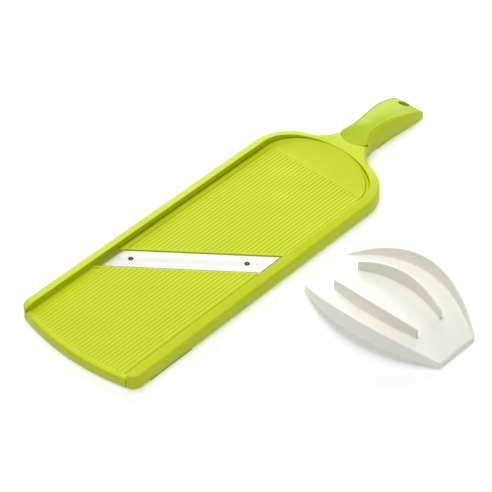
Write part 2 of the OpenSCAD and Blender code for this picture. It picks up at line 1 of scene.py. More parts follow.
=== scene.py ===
import math

import bmesh
import bpy
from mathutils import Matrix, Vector


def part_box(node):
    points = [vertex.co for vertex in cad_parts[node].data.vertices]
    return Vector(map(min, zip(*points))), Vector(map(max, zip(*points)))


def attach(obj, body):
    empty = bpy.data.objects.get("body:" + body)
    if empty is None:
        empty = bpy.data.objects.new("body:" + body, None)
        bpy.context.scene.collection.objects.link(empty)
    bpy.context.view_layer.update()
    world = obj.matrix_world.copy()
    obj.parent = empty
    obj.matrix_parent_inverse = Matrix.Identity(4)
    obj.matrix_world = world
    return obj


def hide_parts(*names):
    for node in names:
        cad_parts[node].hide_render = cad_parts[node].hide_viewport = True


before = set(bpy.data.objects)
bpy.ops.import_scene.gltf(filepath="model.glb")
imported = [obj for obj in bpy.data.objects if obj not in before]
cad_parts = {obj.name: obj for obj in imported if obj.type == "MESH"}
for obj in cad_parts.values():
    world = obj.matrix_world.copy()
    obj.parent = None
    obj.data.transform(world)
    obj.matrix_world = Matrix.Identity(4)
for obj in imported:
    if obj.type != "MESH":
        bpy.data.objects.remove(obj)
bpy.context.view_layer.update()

# Board coordinates, in millimetres: X across, Y from the blade's centre to the handle, Z up from the table.
MM = 0.001
BLADE_LOW, BLADE_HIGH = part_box("blade")
CENTRE = (BLADE_LOW + BLADE_HIGH) / 2

# Board.
HALF_W = 55.0
RAIL_W = 7.3
CHANNEL_X = HALF_W - RAIL_W
CREASE_Z = 11.4
RIM_Z = 13.2
SHOULDER_SLOPE = 5
WALL = 2.2
BASE_Z = 0.5
FLOOR_Z = 5.2
GUTTER_Z = 6.9
DECK_Z = 8.0
RAIL_CEILING = 9.2
FRONT_R = 189.24
FRONT_Y = 68.74
CORNER_X = 47.0
CORNER_Y = -106.3
CORNER_R = 8.0
SHOULDER_X = 21.0
SHOULDER_Y = 128.4
SHOULDER_R = 34.0
NECK_X = 41.0
NECK_Y = 189.616
NECK_R = 30.4
NECK_SLOPE = 3.0
NECK_CREASE_Z = 12.3
NECK_TURN = 50
SEAM_TURN = 76
SEAM_Y = 186.7
SEAM_R = 15.7
SEAM_END = math.radians(202.8)
SCOOP_Y = 131.0
SCOOP_RIM = 29.6
LEDGE_X = 43.9
LEDGE_RIM = 29.3
LEDGE_DROP = 0.35

# Ribs.
RIB_PITCH = 2.96
RIB_COUNT = 29
RIB_DEPTH = 0.44
RIB_POWER = 3.4
RIBS_X = RIB_PITCH * RIB_COUNT / 2

# Lines parallel to the blade, each given by its Y where X is 0.
BLADE_ANGLE = math.radians(38.5)
SKEW = math.tan(BLADE_ANGLE)
BLADE_HALF_Y = 8.6 / math.cos(BLADE_ANGLE)
LIP_Y = BLADE_HALF_Y + 1.9 / math.cos(BLADE_ANGLE)
BED_Y = BLADE_HALF_Y - 5

# Half width of the blade's bed, and where the rivets are along the blade.
BLADE_X = 43.5
RIVET_X = 32.1
RIVET_SHIFT = -1.4

# Run-up plate.
PLATE_X = 43.5
PLATE_Z = 7.3
PLATE_UNDER_Z = 5.3
SCOOP_LEN = 29.1
SCOOP_RISE = 5.7
SCOOP_POWER = 1.7
RIBS_END_Y = 133.4
HINGE_Y = 145.0
HINGE_Z = 3.2
KNUCKLE_X = 29.5
KNUCKLE_HALF = 3.5
KNOB_Y = 85.0

# Handle.
HANDLE_START = 171.0
HANDLE_END = 247.0
JOIN_Y = 177.6
TIP_R = 5.0
WAIST_HALF = NECK_X - NECK_R
END_HALF = 13.1
CREST_Y = 202.0
CREST_Z = 18.5
EDGE_LEAN = 0.85
LIP_TURN = 58
HANG_Y = 236.0
HANG_R = 4.5
WIDEN_START = 194
WIDEN_END = 236
HOLLOW_START = 176
HOLLOW_END = 241

# Edge line of the handle, which falls from its crest towards the neck and towards the tip.
NECK_FALL = 3.75
NECK_RUN = 24
NECK_FALL_POWER = 1.7
SEAM_DIP = 0.6
SEAM_DIP_START = 172
SEAM_DIP_END = 182
SWELL_Y = 188
SWELL_RISE = 1.2
SWELL_REACH = 7
TIP_FALL = 12.6
TIP_RUN = 44
TIP_FALL_POWER = 1.87
NOSE_Y = 240
NOSE_RUN = 7.2
NOSE_DROP = 3.6

# Rounded edge and crown of the handle.
EDGE_START_Y = 176
EDGE_FULL_Y = 190
EDGE_END_Y = 222
EDGE_NECK_RISE = 1.5
EDGE_NECK_GAIN = 3.7
EDGE_TIP_RISE = 1.2
EDGE_TIP_GAIN = 4.0
CROWN_START = 174
CROWN_FULL = 196
CROWN_HEAD_START = 205
CROWN_NECK = 0.3
CROWN_WAIST = 0.7
CROWN_HEAD = 1.0

# Guard, in its own coordinates: U along it, V across it, W up.
GUARD_X = 132.2
GUARD_Y = 59.3
GUARD_YAW = math.radians(-1.1)
GUARD_HALF = 59.25
GUARD_END_W = 20.8
GUARD_TAPER = 2.2
GUARD_BULGE = 20.2
GUARD_END_Z = 4.3
GUARD_RISE = 9.5
BOSS_U = 16.5
FIN_FACE = 13.5
FIN_BOW = 6.5
FIN_HALF = 37.0
FIN_U = -2.0
FIN_V = -1.5


# ---------- mesh helpers ----------

def board_point(x, y, z):
    """Board millimetres to metres in the shared frame."""
    return (CENTRE.x + x * MM, CENTRE.y + y * MM, z * MM)


def guard_point(u, v, w):
    """Guard millimetres to board millimetres."""
    c, s = math.cos(GUARD_YAW), math.sin(GUARD_YAW)
    return (GUARD_X + u * c - v * s, GUARD_Y + u * s + v * c, w)


def soften(corners, steps=4):
    """Closed outline of corners (x, y, reach), each one rounded off over its reach."""
    outline = []
    count = len(corners)
    for i, (x, y, reach) in enumerate(corners):
        corner = Vector((x, y))
        before = Vector(corners[i - 1][:2]) - corner
        after = Vector(corners[(i + 1) % count][:2]) - corner
        start = corner + before.normalized() * min(reach, before.length * 0.48)
        end = corner + after.normalized() * min(reach, after.length * 0.48)
        for k in range(steps + 1):
            t = k / steps
            point = start * (1 - t) ** 2 + corner * 2 * t * (1 - t) + end * t * t
            outline.append((point.x, point.y))
    return outline


def loft(rings, closed=False):
    """Closed shell through rings of equal length, capped at both ends or joined into a loop."""
    n = len(rings[0])
    last = len(rings) if closed else len(rings) - 1
    faces = []
    for k in range(last):
        a = k * n
        b = (k + 1) % len(rings) * n
        for i in range(n):
            j = (i + 1) % n
            faces.append([a + i, a + j, b + j, b + i])
    if not closed:
        faces.append(list(range(n))[::-1])
        faces.append([last * n + i for i in range(n)])
    return [p for ring in rings for p in ring], faces


def slab(top, under):
    """Closed shell between two grids of points that have the same rows and columns."""
    rows, cols = len(top), len(top[0])
    size = rows * cols
    faces = []
    for r in range(rows - 1):
        for c in range(cols - 1):
            a = r * cols + c
            quad = [a, a + 1, a + cols + 1, a + cols]
            faces.append(quad)
            faces.append([size + i for i in reversed(quad)])
    rim = list(range(cols))
    rim += [r * cols + cols - 1 for r in range(1, rows)]
    rim += [(rows - 1) * cols + c for c in range(cols - 2, -1, -1)]
    rim += [r * cols for r in range(rows - 2, 0, -1)]
    for i, a in enumerate(rim):
        b = rim[(i + 1) % len(rim)]
        faces.append([b, a, size + a, size + b])
    return [p for row in top + under for p in row], faces


def lathe(profile, x, y, steps=96):
    """Ring of revolution about a vertical axis, from a closed profile of (radius, z)."""
    rings = []
    for k in range(steps):
        a = 2 * math.pi * k / steps
        rings.append([(x + r * math.cos(a), y + r * math.sin(a), z) for r, z in profile])
    return loft(rings, closed=True)


def bar(y, z, radius, x0, x1, steps=24):
    """Round bar along X."""
    rings = []
    for x in (x0, x1):
        ring = []
        for k in range(steps):
            a = 2 * math.pi * k / steps
            ring.append((x, y + radius * math.cos(a), z + radius * math.sin(a)))
        rings.append(ring)
    return loft(rings)


def block(x0, x1, y0, y1, z0, z1, soft=0.4):
    """Box with rounded upright edges and softened top and bottom edges."""
    rings = []
    for z, inset in ((z0, soft), (z0 + soft, 0), (z1 - soft, 0), (z1, soft)):
        corners = [
            (x0 + inset, y0 + inset, soft),
            (x1 - inset, y0 + inset, soft),
            (x1 - inset, y1 - inset, soft),
            (x0 + inset, y1 - inset, soft),
        ]
        rings.append([(x, y, z) for x, y in soften(corners, 3)])
    return loft(rings)


def add_piece(name, shells, body, material, slot, *nodes, sharp=40):
    """One object from closed shells in board millimetres; it rides on its body and replaces its CAD nodes."""
    points, faces = [], []
    for shell_points, shell_faces in shells:
        first = len(points)
        points += [board_point(*p) for p in shell_points]
        faces += [[first + i for i in face] for face in shell_faces]
    mesh = bpy.data.meshes.new(name)
    mesh.from_pydata(points, [], faces)
    clean(mesh)
    finish_shading(mesh, sharp)
    piece = bpy.data.objects.new(name, mesh)
    bpy.context.scene.collection.objects.link(piece)
    mesh.materials.append(material)
    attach(piece, body)
    if nodes:
        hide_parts(*nodes)
    return piece


def clean(mesh):
    """Merges doubled points, drops empty faces and turns every face outward."""
    bm = bmesh.new()
    bm.from_mesh(mesh)
    bmesh.ops.remove_doubles(bm, verts=bm.verts, dist=2e-6)
    bmesh.ops.dissolve_degenerate(bm, edges=bm.edges, dist=1e-7)
    bmesh.ops.recalc_face_normals(bm, faces=bm.faces)
    bm.to_mesh(mesh)
    bm.free()


def finish_shading(mesh, sharp):
    """Shades a mesh smooth, apart from edges sharper than an angle in degrees."""
    mesh.shade_smooth()
    mesh.set_sharp_from_angle(angle=math.radians(sharp))


def cut(piece, shell, sharp=40):
    """Cuts a closed shell out of a piece."""
    mesh = bpy.data.meshes.new("cutter")
    mesh.from_pydata([board_point(*p) for p in shell[0]], [], shell[1])
    clean(mesh)
    cutter = bpy.data.objects.new("cutter", mesh)
    bpy.context.scene.collection.objects.link(cutter)
    modifier = piece.modifiers.new("cut", "BOOLEAN")
    modifier.operation = "DIFFERENCE"
    modifier.solver = "EXACT"
    modifier.object = cutter
    depsgraph = bpy.context.evaluated_depsgraph_get()
    result = bpy.data.meshes.new_from_object(piece.evaluated_get(depsgraph))
    piece.modifiers.clear()
    piece.data = result
    finish_shading(result, sharp)
    bpy.data.objects.remove(cutter)


def blend_value(x, x0, x1):
    """Smooth step from 0 at x0 to 1 at x1."""
    t = min(1.0, max(0.0, (x - x0) / (x1 - x0)))
    return t * t * (3 - 2 * t)


# ---------- board ----------

def front_station(cx, cy, radius, angle):
    """Inner and outer point of the rim where the outline is an arc at the discharge end."""
    c, s = math.cos(angle), math.sin(angle)
    outer = Vector((cx + radius * c, cy + radius * s))
    depth = min(RAIL_W, (outer.x - CHANNEL_X) / c)
    return outer - Vector((c, s)) * depth, outer


def scoop_point(t, a, b):
    """Point at angle t on the half ellipse round the scoop, with half axes a and b."""
    return Vector((a * math.cos(t), SCOOP_Y + b * math.sin(t)))


def rim_stations():
    """Right half of the rim, from the discharge corner to the middle of the seam.

    Each station is (inner point, outer point, outer edge height, slope width, scoop angle)."""
    corner_steps = 10
    rail_steps = 24
    shoulder_steps = 24
    neck_steps = 16
    seam_steps = 12
    stations = []
    start = -math.acos(CHANNEL_X / FRONT_R) + 0.004
    tangent = math.atan2(CORNER_Y - FRONT_Y, CORNER_X)
    for k in range(3):
        angle = start + (tangent - start) * k / 2
        inner, outer = front_station(0, FRONT_Y, FRONT_R, angle)
        stations.append((inner, outer, CREASE_Z, RAIL_W, 0))
    for k in range(1, corner_steps + 1):
        angle = tangent * (1 - k / corner_steps)
        inner, outer = front_station(CORNER_X, CORNER_Y, CORNER_R, angle)
        stations.append((inner, outer, CREASE_Z, RAIL_W, 0))
    for k in range(1, rail_steps):
        y = CORNER_Y + (SHOULDER_Y - CORNER_Y) * k / rail_steps
        stations.append((Vector((CHANNEL_X, y)), Vector((HALF_W, y)), CREASE_Z, RAIL_W, 0))
    neck_angle = math.atan2(NECK_Y - SHOULDER_Y, NECK_X - SHOULDER_X)
    level = math.asin((SCOOP_Y - SHOULDER_Y) / SHOULDER_R)
    for k in range(shoulder_steps + 1):
        angle = neck_angle * k / shoulder_steps
        outer = Vector((SHOULDER_X, SHOULDER_Y)) + SHOULDER_R * Vector((math.cos(angle), math.sin(angle)))
        if angle < level:
            inner, t = Vector((CHANNEL_X, SHOULDER_Y + SHOULDER_R * math.sin(angle))), 0
        else:
            t = math.radians(NECK_TURN) * (angle - level) / (neck_angle - level)
            inner = scoop_point(t, CHANNEL_X, SCOOP_RIM)
        slope = RAIL_W + (SHOULDER_SLOPE - RAIL_W) * blend_value(k, 6, shoulder_steps)
        stations.append((inner, outer, CREASE_Z, slope, t))
    for k in range(1, neck_steps + 1):
        angle = neck_angle + math.pi + (SEAM_END - neck_angle - math.pi) * k / neck_steps
        outer = Vector((NECK_X, NECK_Y)) + NECK_R * Vector((math.cos(angle), math.sin(angle)))
        t = math.radians(NECK_TURN + (SEAM_TURN - NECK_TURN) * k / neck_steps)
        slope = SHOULDER_SLOPE + (NECK_SLOPE - SHOULDER_SLOPE) * k / neck_steps
        edge = CREASE_Z + (NECK_CREASE_Z - CREASE_Z) * blend_value(k, 6, neck_steps)
        stations.append((scoop_point(t, CHANNEL_X, SCOOP_RIM), outer, edge, slope, t))
    seam_angle = math.atan2(outer.y - SEAM_Y, outer.x)
    for k in range(1, seam_steps + 1):
        angle = seam_angle + (-math.pi / 2 - seam_angle) * k / seam_steps
        point = Vector((SEAM_R * math.cos(angle), SEAM_Y + SEAM_R * math.sin(angle)))
        t = math.radians(SEAM_TURN + (90 - SEAM_TURN) * k / seam_steps)
        edge = NECK_CREASE_Z + (RIM_Z - NECK_CREASE_Z) * min(1.0, (outer.x - point.x) / NECK_SLOPE)
        stations.append((scoop_point(t, CHANNEL_X, SCOOP_RIM), point, edge, NECK_SLOPE, t))
    return stations


def rim_ring(station):
    """Section of the rim: an upside-down U with a sloped top and rounded edges."""
    inner, outer, edge_z, slope, turn = station
    width = (outer - inner).length
    direction = (outer - inner).normalized()
    wall = min(WALL, width * 0.38)

    def top(a):
        return edge_z + (RIM_Z - edge_z) * min(1.0, (width - a) / slope)

    bend = max(min(1.5, width * 0.3), width - slope)
    ceiling = RAIL_CEILING if inner.y < SHOULDER_Y else RIM_Z - 2.4
    corners = [
        (0, BASE_Z, 0.4),
        (0, top(0), 0.9 - 0.4 * min(1.0, 4 * turn)),
        (bend, top(bend), 0.6),
        (width, edge_z, 1.3),
        (width, BASE_Z, 0.7),
        (width - wall, BASE_Z, 0.4),
        (width - wall, ceiling, 0.5),
        (wall, ceiling, 0.5),
        (wall, BASE_Z, 0.4),
    ]
    ring = []
    for a, z in soften(corners, 4):
        spot = inner + direction * a
        ring.append((spot.x, spot.y, z))
    return ring


def mirror_half(rings):
    """Adds the left half to rings that run from the right side to the middle."""
    left = [[(-x, y, z) for x, y, z in ring] for ring in rings[-2::-1]]
    return rings + left


def rim_shell():
    return loft(mirror_half([rim_ring(s) for s in rim_stations()]))


def ledge_ring(inner, edge, outside=0.6):
    """Section of the gutter beside the run-up plate, with a fillet at the rim's foot."""
    width = (inner - edge).length
    direction = (inner - edge).normalized()
    foot = min(1.1, width * 0.45)
    lift = max(0.0, scoop_z(edge.y) - LEDGE_DROP - GUTTER_Z)
    corners = [
        (0, FLOOR_Z, 0.1),
        (0, GUTTER_Z, 0.25),
        (width, GUTTER_Z, foot),
        (width, GUTTER_Z + foot * 1.3, 0.02),
        (width + outside, GUTTER_Z + foot * 1.3, 0.02),
        (width + outside, FLOOR_Z, 0.02),
    ]
    ring = []
    for a, z in soften(corners, 4):
        spot = edge + direction * a
        ring.append((spot.x, spot.y, z + lift * min(1.0, z - FLOOR_Z)))
    return ring


def ledge_shell():
    """Gutter from the right end of the slot, round the scoop, to the left end of the slot."""
    scoop_side = []
    for *_, t in rim_stations():
        if t > 0 and (not scoop_side or t > scoop_side[-1]):
            scoop_side.append(t)
    rings = [
        ledge_ring(scoop_point(t, CHANNEL_X, SCOOP_RIM), scoop_point(t, LEDGE_X, LEDGE_RIM))
        for t in scoop_side
    ]

    def straight(side):
        found = []
        for share in (0, 0.25, 0.5, 0.75, 1):
            ring = []
            for x, y, z in ledge_ring(Vector((CHANNEL_X, 0)), Vector((LEDGE_X, 0))):
                start = LIP_Y + side * SKEW * x
                ring.append((side * x, start + (SCOOP_Y - start) * share, z))
            found.append(ring)
        return found

    middle = rings + [[(-x, y, z) for x, y, z in ring] for ring in rings[-2::-1]]
    return loft(straight(1) + middle + straight(-1)[::-1])


def rib_offsets():
    """(share of the pitch from the crest, share of the depth) across one rib."""
    shares = [-0.5, -0.44, -0.37, -0.28, -0.15, 0, 0.15, 0.28, 0.37, 0.44]
    return [(q, abs(2 * q) ** RIB_POWER) for q in shares]


def rib_columns():
    """(x, share of the rib depth) at every column of the ribbed area."""
    columns = []
    for i in range(RIB_COUNT):
        crest = (i + 0.5) * RIB_PITCH - RIBS_X
        columns += [(crest + q * RIB_PITCH, depth) for q, depth in rib_offsets()]
    columns.append((RIBS_X, 1.0))
    return columns


def gutter_columns(side):
    """(x, drop below the deck) from the ribs' edge to the rail, with a fillet at the rail's foot."""
    step = DECK_Z - GUTTER_Z
    foot = 1.1
    columns = [(RIBS_X + 0.25, RIB_DEPTH + 0.05), (RIBS_X + 0.4, step - 0.12), (RIBS_X + 0.6, step)]
    columns.append((CHANNEL_X - foot, step))
    for k in range(1, 6):
        a = math.pi / 2 * k / 5
        columns.append((CHANNEL_X - foot + foot * math.sin(a), step - foot * (1 - math.cos(a))))
    found = [(side * x, drop) for x, drop in columns]
    return found if side > 0 else found[::-1]


def deck_shell():
    """Front wall, ribs, gutters and the smooth bands at both ends, as one sheet with an underside."""
    ribs = [(x, depth * RIB_DEPTH) for x, depth in rib_columns()]
    columns = gutter_columns(-1) + ribs + gutter_columns(1)
    # Outer and inner face of the front wall: (distance behind the front edge, height).
    wall = [(0.5, 0.5), (0.15, 0.62), (0, 1.1), (0, 6.6), (0.12, 7.3), (0.5, 7.82), (1.2, 8.0)]
    inside = [(1.7, 0.5), (2.05, 0.62), (2.2, 1.1), (2.2, 4.4), (2.25, 4.9), (2.45, 5.15), (2.8, 5.2)]
    # How the ribs begin and end: (distance from that end of the sheet, share of the full depth).
    starts = [(3.2, 0.0), (3.9, 0.04), (4.3, 0.25), (4.7, 0.7), (5.1, 1.0)]
    ends = [(2.6, 1.0), (2.3, 0.8), (2.1, 0.3), (1.9, 0.05), (1.6, 0.0), (0.35, 0.0)]
    body_rows = 14
    top, under = [], []
    for x, drop in columns:
        front = FRONT_Y - math.sqrt(FRONT_R ** 2 - x * x)
        back = SKEW * x - BLADE_HALF_Y - 0.1
        top_column = [(x, front + dy, z) for dy, z in wall]
        under_column = [(x, front + dy, z) for dy, z in inside]
        first = front + starts[-1][0]
        last = back - ends[0][0]
        rows = [(front + dy, share) for dy, share in starts]
        rows += [(first + (last - first) * k / body_rows, 1.0) for k in range(1, body_rows)]
        rows += [(back - dy, share) for dy, share in ends]
        for y, share in rows:
            top_column.append((x, y, DECK_Z - drop * share))
            under_column.append((x, max(y, front + 2.8), FLOOR_Z))
        top_column += [(x, back - 0.08, DECK_Z - 0.08), (x, back, DECK_Z - 0.4)]
        under_column += [(x, back - 0.3, FLOOR_Z), (x, back, FLOOR_Z + 0.3)]
        top.append(top_column)
        under.append(under_column)
    return slab(top, under)


def bed_shell():
    """Bed under the blade, between the pockets at its ends."""
    rings = []
    for x in (-BLADE_X, BLADE_X):
        corners = [
            (SKEW * x - BLADE_HALF_Y - 0.5, FLOOR_Z, 0.1),
            (SKEW * x - BLADE_HALF_Y - 0.5, GUTTER_Z - 0.02, 0.1),
            (SKEW * x + BED_Y, GUTTER_Z - 0.02, 0.4),
            (SKEW * x + BED_Y, FLOOR_Z, 0.4),
        ]
        rings.append([(x, y, z) for y, z in soften(corners, 3)])
    return loft(rings)


def web_shells():
    """Web that carries the adjuster, with a round hole and a raised ring."""
    reach_x, reach_y, hole = CHANNEL_X + 0.6, 21.0, 15.0
    corner = math.atan2(reach_y, reach_x)
    angles = sorted(
        [2 * math.pi * k / 96 for k in range(96)]
        + [corner, math.pi - corner, math.pi + corner, 2 * math.pi - corner]
    )
    rings = []
    for a in angles:
        c, s = math.cos(a), math.sin(a)
        reach = min(reach_x / max(abs(c), 1e-9), reach_y / max(abs(s), 1e-9))
        profile = [(hole, 1.0), (hole + 0.2, 0.8), (reach, 0.8), (reach, 1.6), (hole + 0.2, 1.6), (hole, 1.4)]
        rings.append([(r * c, KNOB_Y + r * s, z) for r, z in profile])
    ring = soften([(17.4, 0.9, 0.05), (21, 0.9, 0.05), (21, 2.4, 0.3), (17.4, 2.4, 0.3)], 3)
    return [loft(rings, closed=True), lathe(ring, 0, KNOB_Y)]


def ear_shells():
    """Ears for the hinge rod, one at each side."""
    return [block(x0, x1, HINGE_Y - 4, HINGE_Y + 4, 1.2, 5.4) for x0, x1 in ((-46, -35.5), (35.5, 46))]


# ---------- handle ----------

def handle_half(y):
    """Half width of the handle."""
    if y < NECK_Y:
        return NECK_X - math.sqrt(NECK_R ** 2 - (NECK_Y - y) ** 2)
    if y < HANDLE_END - TIP_R:
        return WAIST_HALF + (END_HALF - WAIST_HALF) * blend_value(y, WIDEN_START, WIDEN_END)
    return END_HALF - TIP_R + math.sqrt(max(0.0, TIP_R ** 2 - (y - HANDLE_END + TIP_R) ** 2))


def handle_top(y):
    """Height of the handle's upper edge line."""
    if y < CREST_Y:
        swell = SWELL_RISE * math.exp(-((y - SWELL_Y) / SWELL_REACH) ** 2)
        fall = NECK_FALL * ((CREST_Y - y) / NECK_RUN) ** NECK_FALL_POWER
        return CREST_Z - fall - SEAM_DIP * (1 - blend_value(y, SEAM_DIP_START, SEAM_DIP_END)) + swell
    tip_turn = min(1.0, max(0.0, y - NOSE_Y) / NOSE_RUN)
    fall = TIP_FALL * ((y - CREST_Y) / TIP_RUN) ** TIP_FALL_POWER
    return CREST_Z - fall - NOSE_DROP * (1 - math.sqrt(1 - tip_turn ** 2))


def edge_rise(y):
    """Height of the rounded edge between the side and the top."""
    if y < EDGE_FULL_Y:
        return EDGE_NECK_RISE + EDGE_NECK_GAIN * blend_value(y, EDGE_START_Y, EDGE_FULL_Y)
    return EDGE_TIP_RISE + EDGE_TIP_GAIN * max(0.0, (EDGE_END_Y - y) / (EDGE_END_Y - EDGE_FULL_Y))


def crown_rise(y):
    """How far the middle of the top stands above its edges."""
    rise = CROWN_NECK + CROWN_WAIST * blend_value(y, CROWN_START, CROWN_FULL)
    rise += CROWN_HEAD * blend_value(y, CROWN_HEAD_START, WIDEN_END)
    return rise * (1 - blend_value(y, WIDEN_END, HANDLE_END))


def edge_point(y, degrees):
    """(x, z) on the rounded edge, from 0 at the side to 90 at the top."""
    a = math.radians(degrees)
    rise = edge_rise(y)
    return handle_half(y) - EDGE_LEAN * rise * (1 - math.cos(a)), handle_top(y) - rise * (1 - math.sin(a))


def handle_surface(x, y):
    """Height of the handle's top at x."""
    rise = edge_rise(y)
    reach = EDGE_LEAN * rise
    flat = handle_half(y) - reach
    if abs(x) < flat:
        return handle_top(y) + crown_rise(y) * (1 - (x / flat) ** 2) ** 1.5
    share = min(1.0, (abs(x) - flat) / reach)
    return handle_top(y) - rise * (1 - math.sqrt(1 - share * share))


def handle_stations():
    """Y of every section of the handle, closest together at the join and at the rounded tip."""
    ys = [HANDLE_START, HANDLE_START + 2, HANDLE_START + 4, JOIN_Y - 0.15, JOIN_Y + 0.1]
    straight_start = 179
    straight_end = HANDLE_END - TIP_R - 0.7
    ys += [straight_start + (straight_end - straight_start) * k / 31 for k in range(32)]
    return ys + [HANDLE_END - TIP_R + TIP_R * math.sin(math.pi / 2 * k / 14) for k in range(15)]


def handle_body_ring(y):
    """Side walls with rounded lips, a shelf for the cover and a hollow underneath."""
    half = handle_half(y)
    lip = [edge_point(y, degrees) for degrees in (0, 12, 24, 36, 48, LIP_TURN)]
    if y < JOIN_Y:
        half -= 0.6
        lip = [(half - 0.1 * k, 10.8) for k in range(6)]
    hollow = blend_value(y, HOLLOW_START, HOLLOW_START + 1) * (1 - blend_value(y, HOLLOW_END - 1, HOLLOW_END))
    wall = min(WALL, half * 0.3)
    lip_x, lip_z = lip[-1]
    shelf = max(lip_z - 0.9, BASE_Z + 0.8)
    ceiling = BASE_Z + 0.2 + max(0.2, shelf - 2.7 - BASE_Z) * hollow
    right = [(half - wall, BASE_Z), (half - 0.2, BASE_Z), (half, BASE_Z + 0.3)]
    right.append((half, (BASE_Z + lip[0][1]) / 2))
    right += lip + [(lip_x - 0.15, lip_z - 0.02), (lip_x - 0.2, shelf)]
    left = [(-x, z) for x, z in right[::-1]]
    under = [(-half + wall, ceiling), (half - wall, ceiling)]
    return [(x, y, z) for x, z in right + left + under]


def handle_cover_ring(y, inset=0.0):
    """Soft top, let in between the lips of the body."""
    lip_x, _ = edge_point(y, LIP_TURN)
    half = lip_x - 0.22 - inset
    low = handle_surface(half, y) - 1.3
    crest = []
    for k in range(25):
        x = half * math.cos(math.pi * k / 24)
        drop = 0.2 + 0.35 * (1 - blend_value(half - abs(x), 0, 0.8))
        crest.append((x, y, handle_surface(x, y) - drop - inset))
    return [(half, y, low)] + crest + [(-half, y, low)]


def hang_cutter():
    """Upright cylinder through the hanging hole."""
    angles = [2 * math.pi * k / 64 for k in range(64)]
    profile = [(HANG_R * math.cos(a), HANG_Y + HANG_R * math.sin(a)) for a in angles]
    return loft([[(x, y, -2) for x, y in profile], [(x, y, 30) for x, y in profile]])


def seam_cutter():
    """Everything on the neck side of the seam arc."""
    arc = []
    for k in range(33):
        a = math.radians(-160 + 140 * k / 32)
        arc.append((SEAM_R * math.cos(a), SEAM_Y + SEAM_R * math.sin(a)))
    outline = arc + [(30, 181), (30, 150), (-30, 150), (-30, 181)]
    return loft([[(x, y, -2) for x, y in outline], [(x, y, 30) for x, y in outline]])


# ---------- run-up plate ----------

def scoop_z(y):
    """Height of the run-up plate, which is level up to the scoop and then rises."""
    return PLATE_Z + SCOOP_RISE * (max(0.0, y - SCOOP_Y) / SCOOP_LEN) ** SCOOP_POWER


def plate_shell():
    """Ribbed plate with a smooth lip at the slot and a finger scoop at the handle end."""
    edge = [(-PLATE_X, 1.0), (-PLATE_X + 0.08, 1.0)]
    columns = edge + rib_columns() + [(-x, d) for x, d in edge[::-1]]
    starts = [(0.45, 0.0), (1.7, 0.0), (2.0, 0.08), (2.25, 0.45), (2.6, 0.9), (3.0, 1.0)]
    body_rows = 16
    scoop_rows = 16
    top, under = [], []
    for x, depth in columns:
        lip = LIP_Y + SKEW * x
        far = SCOOP_Y + SCOOP_LEN * math.sqrt(max(0.0, 1 - (x / PLATE_X) ** 2))
        ribs_end = min(RIBS_END_Y, far - 0.02)
        drop = depth * RIB_DEPTH
        rows = [(lip, PLATE_Z - 0.55), (lip + 0.08, PLATE_Z - 0.2), (lip + 0.22, PLATE_Z - 0.05)]
        rows += [(lip + dy, PLATE_Z - drop * share) for dy, share in starts]
        first = lip + starts[-1][0]
        last = ribs_end - 0.9
        rows += [(first + (last - first) * k / body_rows, PLATE_Z - drop) for k in range(1, body_rows + 1)]
        for dy, share in ((0.6, 0.85), (0.3, 0.35), (0.12, 0.08), (0.0, 0.0)):
            y = ribs_end - dy
            rows.append((y, scoop_z(y) - drop * share))
        for k in range(1, scoop_rows + 1):
            y = ribs_end + (far - ribs_end) * k / scoop_rows
            rows.append((y, scoop_z(y)))
        top.append([(x, y, z) for y, z in rows])
        under.append([(x, y, max(PLATE_UNDER_Z, scoop_z(y) - 1.9)) for y, z in rows])
    return slab(top, under)


def knuckle_shells():
    """Knuckles round the hinge rod, each joined to the plate by a block."""
    shells = []
    for side in (-1, 1):
        x0, x1 = side * KNUCKLE_X - KNUCKLE_HALF, side * KNUCKLE_X + KNUCKLE_HALF
        shells.append(bar(HINGE_Y, HINGE_Z, 2.7, x0, x1, 32))
        shells.append(block(x0, x1, HINGE_Y - 2.5, HINGE_Y + 2.5, HINGE_Z + 0.5, HINGE_Z + 4.8, 0.2))
    return shells


def foot_shell():
    """Short round foot that stands on the knob's ramp."""
    return lathe([(0.02, 3.85), (1.2, 3.85), (1.5, 4.15), (1.5, 5.6), (0.02, 5.6)], 0, KNOB_Y - 11, 32)


# ---------- guard ----------

def arch(u):
    """Share of the arch's height at u, from 0 at the guard's ends to 1 in the middle."""
    return 1 - (u / GUARD_HALF) ** 2


def guard_half_w(u):
    """Half width of the guard."""
    return GUARD_END_W - GUARD_TAPER * u / GUARD_HALF + GUARD_BULGE * arch(u)


def guard_plate_z(u):
    """Height of the guard's arched plate."""
    return GUARD_END_Z + GUARD_RISE * arch(u)


def guard_ring(u, shut, lowered=0.0):
    """Section of the guard: hem, wall, arched plate, wall, hem and the underside."""
    w = guard_half_w(u) - lowered
    plate = guard_plate_z(u) - lowered
    wall = plate + 0.3 + 10.6 * arch(u)
    hem = 0.3 + 10.4 * arch(u)
    under = 0.0 if shut else plate - 2
    soft = min(0.7, 0.1 + 3 * arch(u))
    half = [
        (w - 2.8, plate, min(1.4, 0.1 + 4 * arch(u))),
        (w - 1.8, wall, soft),
        (w, wall, soft),
        (w, hem, 0.6),
        (w - 2, hem + 0.1, 0.4),
        (w - 2.4, under, 0.5),
    ]
    corners = half + [(-v, z, r) for v, z, r in half[::-1]]
    return [guard_point(u, v, z) for v, z in soften(corners, 4)]


